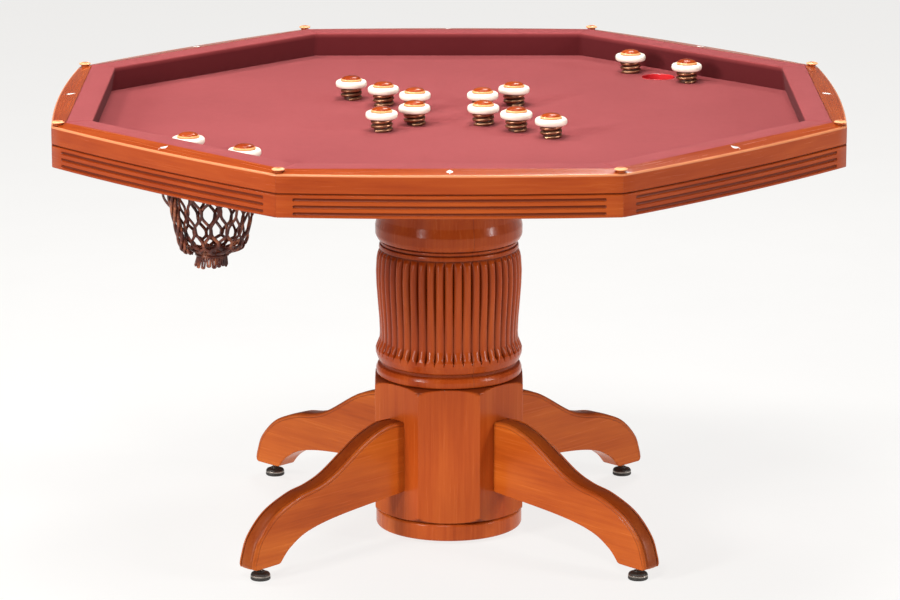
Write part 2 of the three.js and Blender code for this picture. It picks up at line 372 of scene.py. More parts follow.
def rubber_material(name, colour, roughness, scale=420.0):
    n = Nodes(name)
    place = n.place(shift=2.1)
    mottle = n.noise(place, 35.0, 4, 0.6)
    grain = n.noise(place, scale, 3, 0.6)
    darker = tuple(c * 0.86 for c in colour)
    return n.finish(
        Base_Color=n.mix(n.spread(mottle, 0.3, 0.7), darker, colour),
        Roughness=n.spread(grain, 0.3, 0.7, roughness - 0.06, roughness + 0.08),
        Normal=n.bump(grain, 0.00008, 0.3),
    )


def plastic_material(name, colour, deep):
    n = Nodes(name)
    place = n.place(shift=1.3)
    swirl = n.noise(place, 40.0, 3, 0.5)
    haze = n.noise(place, 260.0, 2, 0.5)
    return n.finish(
        Base_Color=n.mix(n.spread(swirl, 0.3, 0.7), deep, colour),
        Roughness=n.spread(haze, 0.3, 0.7, 0.12, 0.24),
        Coat_Weight=0.5,
        Coat_Roughness=0.05,
    )


def metal_material(name, colour, roughness, scale=(1, 1, 1)):
    """Metal with fine drawing marks and patches where the plating has dulled."""
    n = Nodes(name)
    marks = n.noise(n.place(scale, shift=1.9), 300.0, 4, 0.6)
    dull = n.noise(n.place(shift=1.9), 70.0, 4, 0.6)
    darker = tuple(c * 0.45 for c in colour)
    return n.finish(
        Base_Color=n.mix(n.spread(dull, 0.35, 0.65), darker, colour),
        Metallic=1.0,
        Roughness=n.spread(marks, 0.3, 0.7, roughness - 0.08, roughness + 0.12),
        Normal=n.bump(marks, 0.00006, 0.4),
    )


def leather_material():
    """Dark brown leather lace with paler worn patches."""
    n = Nodes("lace_leather")
    place = n.place(shift=1.7)
    wear_and_highlight = n.noise(place, 55.0, 4, 0.6)
    grain = n.noise(place, 700.0, 4, 0.65)
    stops = [(0.36, (0.035, 0.008, 0.006)), (0.52, (0.095, 0.021, 0.012)), (0.70, (0.34, 0.11, 0.05))]
    return n.finish(
        Base_Color=n.ramp(wear_and_highlight, stops),
        Roughness=n.spread(grain, 0.3, 0.7, 0.26, 0.46),
        Specular_IOR_Level=0.3,
        Normal=n.bump(grain, 0.0002, 0.5),
    )


def pearl_material():
    n = Nodes("pearl_inlay")
    place = n.place(shift=0.9)
    layers = n.noise(place, 120.0, 3, 0.5, 1.2)
    stops = [(0.35, (0.72, 0.70, 0.74)), (0.5, (0.9, 0.88, 0.84)), (0.65, (0.78, 0.86, 0.84))]
    return n.finish(Base_Color=n.ramp(layers, stops), Roughness=0.18, Coat_Weight=0.6)


MATERIALS = {
    "rail": wood_material("rail_wood", 1, (0.70, 0.63, 0.66)),
    "column": wood_material("column_wood", 2, (0.86, 0.78, 0.9), staves=4),
    "block": wood_material("block_wood", 2, (0.92, 0.93, 1.14)),
    # The plinth and legs are tinted brighter than the other wood: painted light that stands for the bright
    # floor beneath them.
    "plinth": wood_material("plinth_wood_floor_lit", 2, (1.08, 1.26, 1.85)),
    "leg": wood_material("leg_wood_floor_lit", 0, (1.16, 1.45, 1.5)),
    "underside": wood_material("underside_wood", 0, (0.5, 0.5, 0.5), polish=0.4),
    "cap": wood_material("cap_wood", 0, (0.72, 0.62, 0.7), polish=0.12),
    # The cap's rim in a pale colour, a painted highlight.
    "cap_rim": rubber_material("cap_rim_painted_highlight", (0.80, 0.36, 0.14), 0.24, 160.0),
    "button": wood_material("button_wood", 0),
    "cloth": cloth_material(),
    "liner": plastic_material("liner_plastic", (0.66, 0.030, 0.035), (0.46, 0.012, 0.018)),
    "net": leather_material(),
    "spring": metal_material("spring_bronze", (0.52, 0.28, 0.16), 0.38),
    "cup": metal_material("cup_bronze", (0.42, 0.20, 0.10), 0.34),
    "core": rubber_material("core_rubber", (0.075, 0.026, 0.014), 0.5),
    "ring": rubber_material("ring_rubber", (0.93, 0.88, 0.76), 0.34),
    "pad": rubber_material("pad_rubber", (0.022, 0.019, 0.017), 0.5),
    "steel": metal_material("leveller_steel", (0.42, 0.38, 0.34), 0.36, (1, 1, 12)),
    "pearl": pearl_material(),
}


# -------- mesh tools


def make_object(name, vertices, faces, material, sharp=40, glaze_and_painted_light=None):
    """A smooth-shaded mesh object, with edges sharper than sharp degrees kept crisp."""
    mesh = bpy.data.meshes.new(name)
    mesh.from_pydata([tuple(v) for v in vertices], [], faces)
    mesh.validate()
    if glaze_and_painted_light is not None:
        layer = mesh.attributes.new("glaze_and_painted_light", "FLOAT", "POINT")
        layer.data.foreach_set("value", glaze_and_painted_light)
    shape = bmesh.new()
    shape.from_mesh(mesh)
    bmesh.ops.recalc_face_normals(shape, faces=shape.faces)
    shape.to_mesh(mesh)
    shape.free()
    mesh.polygons.foreach_set("use_smooth", [True] * len(mesh.polygons))
    mesh.set_sharp_from_angle(angle=math.radians(sharp))
    obj = add_object(name, mesh)
    mesh.materials.append(MATERIALS[material])
    return obj


def settle(obj, body=ROOT, replaces=None, turn=None, at=None):
    """Turns or moves a piece to its place, and makes it ride on its body."""
    if turn is not None:
        obj.rotation_euler.z = turn
    if at is not None:
        obj.location = at
    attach(obj, body)
    if replaces:
        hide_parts(replaces)
    return obj


def rounded(corners, steps=5):
    """A 2-D outline from corners (x, y) or (x, y, radius), each with a radius turned into an arc."""
    line = []
    count = len(corners)
    for i, corner in enumerate(corners):
        here = Vector(corner[:2])
        radius = corner[2] if len(corner) > 2 else 0
        if not radius or i in (0, count - 1):
            line.append(here)
            continue
        back = (Vector(corners[i - 1][:2]) - here).normalized()
        ahead = (Vector(corners[i + 1][:2]) - here).normalized()
        half = back.angle(ahead) / 2
        reach = radius / math.tan(half)
        centre = here + (back + ahead).normalized() * (radius / math.sin(half))
        start = here + back * reach - centre
        end = here + ahead * reach - centre
        sweep = start.angle_signed(end)
        for step in range(steps + 1):
            turn = -sweep * step / steps
            line.append(centre + Matrix.Rotation(turn, 2) @ start)
    return line


def grid_faces(rows, columns, wrap_rows=False, wrap_columns=False):
    """Quads over a grid of points stored row by row."""
    faces = []
    for r in range(rows if wrap_rows else rows - 1):
        for c in range(columns if wrap_columns else columns - 1):
            r2, c2 = (r + 1) % rows, (c + 1) % columns
            faces.append((r * columns + c, r * columns + c2, r2 * columns + c2, r2 * columns + c))
    return faces


def capped_faces(rows, columns):
    """Quads over rings of points stored one after another, with the first and last ring closed."""
    faces = grid_faces(rows, columns, wrap_columns=True)
    faces.append(tuple(range(columns)))
    faces.append(tuple((rows - 1) * columns + i for i in range(columns)))
    return faces


def lathe(name, outline, material, around=64, sharp=40, radius_at=None, glaze_and_painted_light_at=None):
    """A piece turned round Z from an outline of (radius, height) in mm.

    An outline that starts and ends on the axis makes a solid; one that closes on itself makes a ring.
    radius_at(radius, height, angle) can carve it, and a second function of (height, angle) paints on glaze,
    painted shade and painted highlights."""
    closed = outline[0][0] < 1e-6
    rings = outline[1:-1] if closed else outline[:-1]
    vertices, glaze_and_painted_light = [], []
    for radius, height in rings:
        for step in range(around):
            angle = 2 * math.pi * step / around
            r = radius_at(radius, height, angle) if radius_at else radius
            vertices.append((r * math.cos(angle) * MM, r * math.sin(angle) * MM, height * MM))
            glaze_and_painted_light.append(glaze_and_painted_light_at(height, angle) if glaze_and_painted_light_at else 0.0)
    faces = grid_faces(len(rings), around, wrap_rows=not closed, wrap_columns=True)
    if closed:
        low, high = len(vertices), len(vertices) + 1
        last = (len(rings) - 1) * around
        vertices += [(0, 0, outline[0][1] * MM), (0, 0, outline[-1][1] * MM)]
        glaze_and_painted_light += [0.0, 0.0]
        for step in range(around):
            following = (step + 1) % around
            faces.append((low, following, step))
            faces.append((high, last + step, last + following))
    return make_object(name, vertices, faces, material, sharp, glaze_and_painted_light)


def tube(name, paths, radius, material, around=8, closed=False, flat=1.0):
    """Cords along lists of points in metres. flat below 1 makes them laces that face away from the Z axis."""
    vertices, faces = [], []
    for path in paths:
        start = len(vertices)
        count = len(path)
        side = None
        for i, point in enumerate(path):
            after = path[(i + 1) % count] if closed else path[min(i + 1, count - 1)]
            before = path[i - 1] if closed else path[max(i - 1, 0)]
            ahead = (after - before).normalized()
            if side is None:
                side = ahead.orthogonal().normalized()
            if flat < 1:
                side = ahead.cross(Vector((point.x, point.y, 0)))
            side = (side - ahead * side.dot(ahead)).normalized()
            other = ahead.cross(side)
            for step in range(around):
                angle = 2 * math.pi * step / around
                offset = side * math.cos(angle) + other * math.sin(angle) * flat
                vertices.append(point + offset * radius)
        walls = grid_faces(count, around, True, True) if closed else capped_faces(count, around)
        faces += [tuple(start + v for v in wall) for wall in walls]
    return make_object(name, vertices, faces, material)


# -------- rails, cushions and bed

RAIL_IN = RAIL_LOW.x / MM
RAIL_OUT = RAIL_HIGH.y / MM / math.tan(HALF_SIDE)
BOW = RAIL_HIGH.x / MM - RAIL_OUT  # how far a rail's face bulges in the middle of its side
GROOVE_DROP = 32.0  # from the rail's top edge down to the V groove
FLUTE_PITCH = 11.5
FLUTE_DROPS = [41.5 + FLUTE_PITCH * i for i in range(3)]
FLUTE_HALF = 3.0  # half a flute's width
FLUTE_DEEP = 2.7
FLUTE_STOP = 27.0  # from the mitre to a flute's end


def mitred(name, section, stations, material, depth_at, bowed, glaze_and_painted_light_at=None, sharp=35):
    """One side of the octagon, centred on X, as a section of (out, height) in mm swept between mitres.

    depth_at(out, height, left) sinks the surface, left being the distance to the nearer mitre."""
    count = len(section)
    normals = []
    for i in range(count):
        along = section[(i + 1) % count] - section[i - 1]
        normals.append(Vector((along.y, -along.x)).normalized())
    vertices, glaze_and_painted_light = [], []
    for t in stations:
        for point, normal in zip(section, normals):
            reach = point.x * math.tan(HALF_SIDE) - 0.15
            left = reach * (1 - abs(t))
            sunk = point - normal * depth_at(point.x, point.y, left)
            bow = BOW * (1 - t * t) if bowed(point.x) else 0
            vertices.append(((sunk.x + bow) * MM, t * reach * MM, sunk.y * MM))
            glaze_and_painted_light.append(glaze_and_painted_light_at(point.x, point.y, left) if glaze_and_painted_light_at else 0.0)
    return make_object(name, vertices, capped_faces(len(stations), count), material, sharp, glaze_and_painted_light)


def both_ways(shares):
    """Stations from mitre to mitre, from shares between 0 and 1 on one half."""
    ordered = sorted(set(shares))
    return [-s for s in reversed(ordered) if s > 0] + ordered


def flute_depth(out, height, left):
    """How deep the stopped, round-ended flutes are cut at a place on the apron."""
    if out < RAIL_OUT - 0.5:
        return 0.0
    end = max(0.0, FLUTE_STOP + FLUTE_HALF - left) / FLUTE_HALF
    deepest = 0.0
    for drop in FLUTE_DROPS:
        off = (height - (TOP_Z / MM - drop)) / FLUTE_HALF
        inside = 1 - off * off - end * end
        deepest = max(deepest, FLUTE_DEEP * math.sqrt(max(0.0, inside)))
    return deepest


def rail_section():
    top, low, rise = TOP_Z / MM, RAIL_LOW.z / MM, RAIL_RISE / MM
    groove = top - GROOVE_DROP
    corners = [(RAIL_IN, low), (RAIL_OUT - 0.02, low, 1.6)]
    for drop in reversed(FLUTE_DROPS):
        for step in range(9):
            corners.append((RAIL_OUT, top - drop - FLUTE_HALF * math.cos(math.pi * step / 8)))
    corners += [
        (RAIL_OUT, groove - 2.2, 0.8), (RAIL_OUT - 3.2, groove - 0.2, 0.4),
        (RAIL_OUT, groove + 1.8, 0.8), (RAIL_OUT, top - 3.6), (RAIL_OUT, top, 2.8),
        (RAIL_OUT - 3.6, top + 0.6), (RAIL_OUT - 12, top + rise / 2),
        (RAIL_IN + 4, top + rise * 0.85), (RAIL_IN, top + rise),
    ]
    return rounded(corners)


def rail_depth(out, height, left):
    """Flutes, and a fine eased edge at each mitre."""
    eased = 0.7 * max(0.0, 1 - left / 1.2) if out > RAIL_OUT - 6 else 0.0
    return flute_depth(out, height, left) + eased


def rail_glaze_and_painted_light(out, height, left):
    """A painted highlight on the top edge; dark in the groove, partly glaze and partly painted shade; a dark
    line at the mitre joints; and painted shade high up in each flute.
    """
    drop = TOP_Z / MM - height
    # Painted highlight along the top edge.
    if drop < 2.4 and out > RAIL_OUT - 3:
        return -0.4
    groove = 1.0 if abs(drop - GROOVE_DROP) < 1.5 and out < RAIL_OUT - 0.8 else 0.0
    mitre = 0.15 if left < 0.6 and out > RAIL_OUT - 6 else 0.0
    below = (drop - FLUTE_DROPS[0] + FLUTE_PITCH / 2) % FLUTE_PITCH - FLUTE_PITCH / 2
    # Painted shade in the upper part of each flute, which faces down.
    shaded = min(0.9, max(0.1, 0.9 - (below - 1.2) / 1.4))
    return max(groove, mitre, shaded * min(1.0, flute_depth(out, height, left) / 1.6))


def make_rails():
    reach = RAIL_OUT * math.tan(HALF_SIDE)
    flute_ends = [1 - (FLUTE_STOP + s) / reach for s in (-0.3, 0.2, 0.8, 1.6, 2.4, 3.0)]
    shares = [i / 8 for i in range(8)] + flute_ends + [1 - 1.2 / reach, 1 - 0.5 / reach, 1]
    section = rail_section()
    for side in range(1, SIDES + 1):
        rail = mitred(
            f"wood_rail_{side}",
            section,
            both_ways(shares),
            "rail",
            rail_depth,
            lambda out: out > RAIL_IN + 6,
            rail_glaze_and_painted_light,
        )
        settle(rail, replaces=f"rail_{side}", turn=(side - 1) * 2 * HALF_SIDE)


def cushion_section():
    low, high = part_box("cushion_1")
    nose, back, foot, top = low.x / MM, high.x / MM, low.z / MM, high.z / MM
    corners = [
        (back, foot), (nose + 8, foot, 0.8), (nose + 2.0, top - 10, 4), (nose, top - 0.5, 2.0),
        (nose + 16, top, 20), (back - 8, top + 0.4, 10), (back, top - 0.2, 1.2), (back, top - 6),
    ]
    return [Vector(p) for p in rounded(corners[::-1])][::-1]


def cushion_depth(out, height, left):
    """The cloth is drawn in where it is folded and stitched at each mitre."""
    return 1.3 * math.exp(-((left / 2.2) ** 2)) + 0.35 * math.exp(-((left - 9) ** 2) / 30)


def cushion_painted_shade(out, height, left):
    """Painted shade on the face that turns in under the nose."""
    low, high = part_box("cushion_1")
    below = high.z / MM - 2.5 - height
    return min(1.0, max(0.0, below / 3)) if out < low.x / MM + 9 else 0.0


def make_cushions():
    section = cushion_section()
    reach = RAIL_IN * math.tan(HALF_SIDE)
    shares = [i / 4 for i in range(4)] + [1 - s / reach for s in (0, 0.7, 1.6, 2.8, 4.5, 7, 9, 12, 17, 26)]
    for side in range(1, SIDES + 1):
        cushion = mitred(
            f"cloth_cushion_{side}",
            section,
            both_ways(shares),
            "cloth",
            cushion_depth,
            lambda out: False,
            cushion_painted_shade,
        )
        settle(cushion, replaces=f"cushion_{side}", turn=(side - 1) * 2 * HALF_SIDE)


POCKETS = [middle(f"pocket_liner_{i}") for i in (1, 2)]
CLOTH_THICKNESS = 0.8 * MM
POCKET_HOLE = 30.6 * MM


def make_bed():
    """The cloth stretched over the bed, with a round hole at each pocket, and the board's look."""
    reach = BED_HIGH.x - 1 * MM
    shape = bmesh.new()
    corner = reach / math.cos(HALF_SIDE)
    loops = [[polar(corner, HALF_SIDE + 2 * HALF_SIDE * i) for i in range(SIDES)]]
    for pocket in POCKETS:
        centre = Vector((pocket.x, pocket.y, 0))
        loops.append([centre + polar(POCKET_HOLE, 2 * math.pi * i / 64) for i in range(64)])
    edges = []
    for loop in loops:
        corners = [shape.verts.new(point + Vector((0, 0, BED_Z + 0.05 * MM))) for point in loop]
        edges += [shape.edges.new((corners[i - 1], corners[i])) for i in range(len(corners))]
    bmesh.ops.triangle_fill(shape, edges=edges, use_beauty=True)
    faces = shape.faces[:]
    raised = bmesh.ops.extrude_face_region(shape, geom=faces)["geom"]
    lifted = [v for v in raised if isinstance(v, bmesh.types.BMVert)]
    bmesh.ops.translate(shape, verts=lifted, vec=(0, 0, CLOTH_THICKNESS))
    bmesh.ops.recalc_face_normals(shape, faces=shape.faces)
    mesh = bpy.data.meshes.new("bed_cloth")
    shape.to_mesh(mesh)
    shape.free()
    cloth = add_object("bed_cloth", mesh)
    mesh.materials.append(MATERIALS["cloth"])
    settle(cloth)
    board = frame["nodes"]["bed"]
    board.data.materials.clear()
    board.data.materials.append(MATERIALS["underside"])


def make_liners():
    low, lip_top = LINER_LOW.z / MM, BED_Z / MM
    outline = rounded([
        (29, low), (30.2, low - 0.3, 0.5), (31.5, low), (31.5, lip_top - 2.6),
        (33.4, lip_top - 2.6), (33.4, lip_top), (31.2, lip_top, 0.3),
        (30.4, lip_top + 1.7, 0.8), (29, lip_top + 0.6, 1.2), (29, low),
    ])
    for i in (1, 2):
        liner = lathe(f"red_liner_{i}", outline, "liner", 72)
        place = POCKETS[i - 1]
        settle(liner, replaces=f"pocket_liner_{i}", at=(place.x, place.y, 0))


# -------- pocket nets

MESHES_ROUND = 14
HALF_ROWS = 6  # half meshes from the mouth down to the gather
NET_LEAN = -3.0  # how far along X the net's foot hangs to one side, in mm
NET_SHIFT = 6 * MM  # how much further out along X than its liner a net hangs
TASSEL_LOOPS = 18


def spline(points, steps):
    """Points along a smooth line through the given ones."""
    line = []
    count = len(points)
    for i in range(count - 1):
        a = Vector(points[max(i - 1, 0)])
        b, c = Vector(points[i]), Vector(points[i + 1])
        d = Vector(points[min(i + 2, count - 1)])
        for step in range(steps):
            t = step / steps
            bend = (c - a) * t + (2 * a - 5 * b + 4 * c - d) * t * t + (3 * b - a - 3 * c + d) * t**3
            line.append(b + bend / 2)
    line.append(Vector(points[-1]))
    return line


def net_profile():
    """The net's (radius, height) in mm from its mouth under the bed to the gather at its foot."""
    mouth, foot = NET_HIGH.z / MM, NET_LOW.z / MM
    return spline(
        [
            (73.5, mouth - 2), (72.5, mouth - 22), (67, mouth - 50), (60, mouth - 82),
            (53, mouth - 108), (45, foot + 37), (27, foot + 30),
        ],
        12,
    )


def hung(angle, radius, height, mouth):
    """A place on the net, in metres. The net leans one way and bulges the other as it hangs."""
    drop = (mouth - height) / 130
    lopsided = radius * (1 + 0.1 * drop * math.cos(angle - 0.4))
    return (polar(lopsided, angle, height) + Vector((NET_LEAN * drop, 0, 0))) * MM


def net_strands(profile):
    strands = []
    mouth = profile[0].y
    for number in range(MESHES_ROUND):
        for way in (1, -1):
            path = []
            for i, (radius, height) in enumerate(profile):
                rows = HALF_ROWS * i / (len(profile) - 1)
                wave = rows - math.sin(2 * math.pi * rows) / (2 * math.pi)
                angle = math.pi / MESHES_ROUND * (2 * number + way * wave)
                angle += 0.03 * math.sin(1.9 * number + 0.8 * rows)
                r = radius + way * 1.6 * math.cos(math.pi * rows)
                sag = 2.0 * math.sin(3.1 * number + rows) * math.sin(math.pi * rows / HALF_ROWS)
                path.append(hung(angle, r, height + sag, mouth))
            strands.append(path)
    return strands


def tassel_loops(foot):
    """Loops of lace hanging close together from the gather, each down and up again."""
    loops = []
    for number in range(TASSEL_LOOPS):
        middle_angle = 2 * math.pi * number / TASSEL_LOOPS
        loose = max(0.0, -math.cos(middle_angle - 0.5)) ** 2
        drop = 1.5 * math.sin(2.3 * number) + 1.5 * loose
        path = []
        for step in range(15):
            turn = math.pi * step / 14
            angle = middle_angle + 0.1 * math.cos(turn)
            depth = min(1.0, 1.7 * math.sin(turn))
            radius = 23.5 + (1.5 + 5 * loose) * depth
            height = foot + 29 - (21 + drop) * depth
            path.append((polar(radius, angle, height) + Vector((NET_LEAN, 0, 0))) * MM)
        loops.append(path)
    return loops


def ring_path(radius, height, wave=0.0, shift=0.0):
    turns = [2 * math.pi * i / 72 for i in range(72)]
    aside = Vector((shift, 0, 0))
    return [(polar(radius, a, height + wave * math.sin(9 * a)) + aside) * MM for a in turns]


def side_straps(profile):
    """Laces twisted together down one side of the net, and a loose loop beside them at the top."""
    straps = []
    mouth = profile[0].y
    for lace in range(5):
        path = []
        for i, (radius, height) in enumerate(profile[:-7]):
            twist = 0.13 * i + lace * math.tau / 5
            angle = math.radians(212) + (6.5 * math.cos(twist) + 0.08 * i) / radius
            path.append(hung(angle, radius + 8 + 0.1 * i + 4.5 * math.sin(twist), height, mouth))
        straps.append(path)
    loop = []
    for step in range(19):
        share = step / 18
        bulge = math.sin(math.pi * min(1, share * 1.15))
        angle = math.radians(190 + 20 * share**2)
        loop.append(hung(angle, profile[0].x + 14 * bulge - 1, mouth - 56 * share, mouth))
    return straps + [loop]


def make_nets():
    profile = net_profile()
    mouth, foot = NET_HIGH.z / MM, NET_LOW.z / MM
    for i in (1, 2):
        place = POCKETS[i - 1]
        turn = 0 if i == 1 else math.pi
        at = (place.x - NET_SHIFT * math.cos(turn), place.y, 0)
        wraps = [ring_path(27.0 - k, foot + 25.5 + 3.4 * k, 0.5, NET_LEAN) for k in range(3)]
        pieces = (
            tube(f"lace_net_{i}", net_strands(profile), 2.7 * MM, "net", 8, flat=0.6),
            tube(f"net_straps_{i}", side_straps(profile), 3.1 * MM, "net", 8, flat=0.7),
            tube(f"net_tassel_{i}", tassel_loops(foot), 2.1 * MM, "net", 8, flat=0.7),
            tube(f"net_gather_{i}", wraps, 2.1 * MM, "net", 8, closed=True),
            tube(f"net_hoop_{i}", [ring_path(72.5, mouth - 3.4)], 2.9 * MM, "net", 10, closed=True),
        )
        for piece in pieces:
            settle(piece, at=at, turn=turn)
        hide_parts(f"pocket_net_{i}")


# -------- bumpers

COIL_RADIUS = 16.3
WIRE_RADIUS = 3.0
CAP_RIM = 38.4  # from the bed up to the foot of the cap's dome


def coil_path(steps=72, turns=2.4):
    """The spring's wire from the bed up to the cup."""
    bottom, top = BED_Z / MM + 2.7, HEAD_LOW.z / MM - 1.0
    path = []
    for i in range(steps + 1):
        angle = 2 * math.pi * turns * i / steps - 2.2
        height = bottom + (top - bottom) * i / steps
        path.append(polar(COIL_RADIUS, angle, height) * MM)
    return path


def ring_outline(steps=28):
    """The rubber ring's section, a little squarer than a circle."""
    base = BED_Z / MM
    outline = []
    for i in range(steps + 1):
        a = 2 * math.pi * i / steps
        c, s = math.cos(a), math.sin(a)
        across = math.copysign(abs(c) ** 0.85, c)
        up = math.copysign(abs(s) ** 0.85, s)
        outline.append(Vector((22.6 + 5.4 * across, base + 29.0 + 6.2 * up)))
    outline[-1] = outline[0]
    return outline


def cap_outline():
    rim = BED_Z / MM + CAP_RIM
    foot, rise = rim - 12.9, 5.4
    turns = [math.pi / 2 * i / 8 for i in range(1, 8)]
    dome = [(16.6 * math.cos(a), rim + rise * math.sin(a)) for a in turns]
    side = [(18.2, foot), (18.2, rim - 2.0, 0.5), (17.0, rim - 0.6)]
    return rounded([(0, foot), *side, *dome, (0, rim + rise)])


def cap_rim_outline():
    """A bevel round the cap's edge, coloured paler as a painted highlight."""
    rim = BED_Z / MM + CAP_RIM
    return rounded([
        (17.4, rim - 3.4), (18.7, rim - 3.0, 0.4), (18.7, rim - 2.0, 0.5),
        (17.0, rim + 0.3, 0.5), (16.0, rim - 0.4), (17.4, rim - 3.4),
    ])


def cup_outline():
    low = HEAD_LOW.z / MM
    return rounded([
        (0, low), (18.6, low, 1.0), (20.6, low + 1.2, 0.8), (21.2, low + 2.6, 0.4),
        (19.6, low + 2.6), (17.2, low + 2.2), (0, low + 2.2),
    ])


def make_bumper(number):
    head = f"bumper_head_{number:02d}"
    body = body_of(head)
    place = middle(head)
    at = (place.x, place.y, 0)
    base = BED_Z / MM
    spin = 0.5 * math.sin(2.1 * number)

    coil = tube(f"bumper_coil_{number:02d}", [coil_path()], WIRE_RADIUS * MM, "spring", 12)
    core = lathe(
        f"bumper_core_{number:02d}",
        rounded([
            (0, base + 1), (13.4, base + 1, 1), (13.4, base + 8), (12.8, base + 10),
            (12.8, base + 14), (13.4, base + 16), (13.4, base + 21.9), (0, base + 21.9),
        ]),
        "core",
        24,
    )
    for part in (coil, core):
        part.location = at
        part.rotation_euler.z = spin
        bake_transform(part)
    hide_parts(f"bumper_spring_{number:02d}")

    turned = (
        ("cup", cup_outline(), 40, "spring_bronze"),
        ("ring", ring_outline(), 56, "ring_rubber"),
        ("cap", cap_outline(), 40, "cap_wood"),
        ("cap_rim", cap_rim_outline(), 48, "cap_wood"),
    )
    for name, outline, around, slot in turned:
        part = lathe(f"bumper_{name}_{number:02d}", outline, name, around)
        settle(part, body, replaces=head if name == "ring" else None, at=at, turn=spin)


# -------- column, block and plinth

REEDS = 48
PER_REED = 14  # points across a reed
REED_LOW, REED_HIGH = 328.5, 513.0
REED_FLOOR = 121.0  # radius at the bottom of the grooves
# The dark bands in the turned grooves are partly glaze and partly painted shade.
TURNED_GROOVES = ((306.8, 3.0), (513.2, 1.8), (523.2, 1.5), (530.2, 1.5))  # (height, width of the glaze)
PLATE_SCREWS = 8
SCREW_CIRCLE = 165 * MM


def reed_cut(radius, height, angle):
    """The share from 0 on a reed's crown to 1 in a groove, and the groove's depth in mm at that place.

    The grooves run out through the flare at the reeds' foot, getting narrower as they do."""
    out = min(1.0, (height - REED_LOW) / 10)
    if out <= 0 or height >= REED_HIGH:
        return 0.0, 0.0
    across = abs((angle * REEDS / (2 * math.pi) + 0.5) % 1.0 - 0.5) * 2
    width = out**0.75
    share = max(0.0, (across - 1 + width) / width)
    curve = (1 - math.sqrt(1 - (0.97 * share) ** 2)) / (1 - math.sqrt(1 - 0.97**2))
    depth = max(0.0, radius - REED_FLOOR) * min(1.0, out * 1.6)
    return curve, depth


def column_radius(radius, height, angle):
    curve, depth = reed_cut(radius, height, angle)
    return radius - curve * depth


def column_glaze_and_shade(height, angle):
    """Dark in the grooves between the reeds and in the turned grooves, partly glaze and partly painted shade.
    """
    turned = 0.0
    for level, width in TURNED_GROOVES:
        turned = max(turned, 0.9 * math.exp(-(((height - level) / width) ** 2)))
    return max(turned, 0.85 * reed_cut(130, height, angle)[0])


def make_column():
    low, top = COLUMN_LOW.z / MM, COLUMN_HIGH.z / MM
    plate = COLUMN_HIGH.x / MM
    bottom = top - 23
    outline = rounded([
        (0, low), (124, low), (129.0, low + 1.4, 4), (130.2, 296, 8), (127.0, 302.8, 3),
        (121.4, 304.6, 0.8), (121.4, 309.0, 0.8), (126.0, 312.0, 2), (130.4, 324, 10),
        (130.6, 332, 6), (127.0, 342, 8), (123.8, 350, 8), (123.2, 361, 20), (124.2, 385, 60),
        (126.4, 412, 60), (129.0, 446, 60), (129.8, 472, 50), (128.4, 496, 20), (126.4, 506, 8),
        (121.8, 512.6, 0.5), (121.8, 513.8, 0.5), (124.4, 514.8, 1.5), (123.4, 521.6, 2),
        (120.6, 522.6, 0.4), (120.6, 523.8, 0.4), (122.6, 524.6, 1.5), (122.6, 528.6, 1.5),
        (120.8, 529.6, 0.4), (120.8, 530.8, 0.5), (126.6, 532.0, 3), (130.6, 540, 10),
        (130.8, 556, 14), (127.2, 572, 14), (125.4, 590, 20), (125.4, bottom - 6, 4),
        (131, bottom, 2), (plate, bottom, 3), (plate, top, 0.5), (0, top),
    ])
    dense = []
    for a, b in zip(outline, outline[1:]):
        dense.append(a)
        if REED_LOW - 2 < a.y < REED_HIGH + 2:
            step = 1.2 if a.y < 345 else 3.0
            parts = max(1, int((b - a).length / step))
            dense += [a.lerp(b, k / parts) for k in range(1, parts)]
    dense.append(outline[-1])
    column = lathe(
        "reeded_column",
        dense,
        "column",
        REEDS * PER_REED,
        radius_at=column_radius,
        glaze_and_painted_light_at=column_glaze_and_shade,
    )
    settle(column, replaces="turned_column")
    screw_outline = [(0, bottom - 3), (3.4, bottom - 2.6, 0.8), (5.2, bottom - 0.2), (0, bottom - 0.2)]
    for i in range(PLATE_SCREWS):
        screw = lathe(f"plate_screw_{i + 1}", rounded(screw_outline), "steel", 20)
        settle(screw, at=polar(SCREW_CIRCLE, 2 * math.pi * (i + 0.5) / PLATE_SCREWS))


def octagon_outline(apothem, ease=2.6):
    """Points round an octagon with a flat side on X and eased corners."""
    points = []
    corner = apothem / math.cos(HALF_SIDE)
    for side in range(SIDES):
        angle = 2 * HALF_SIDE * side + HALF_SIDE
        here = polar(corner, angle)
        into = (here - polar(corner, angle - 2 * HALF_SIDE)).normalized()
        centre = polar(corner - ease / math.cos(HALF_SIDE), angle)
        flat = 2 * (apothem - ease) * math.tan(HALF_SIDE)
        start = here - into * (flat + ease * math.tan(HALF_SIDE))
        points += [start + into * flat * k / 14 for k in range(14)]
        points += [centre + polar(ease, angle + HALF_SIDE * (k / 2 - 1)) for k in range(5)]
    return points


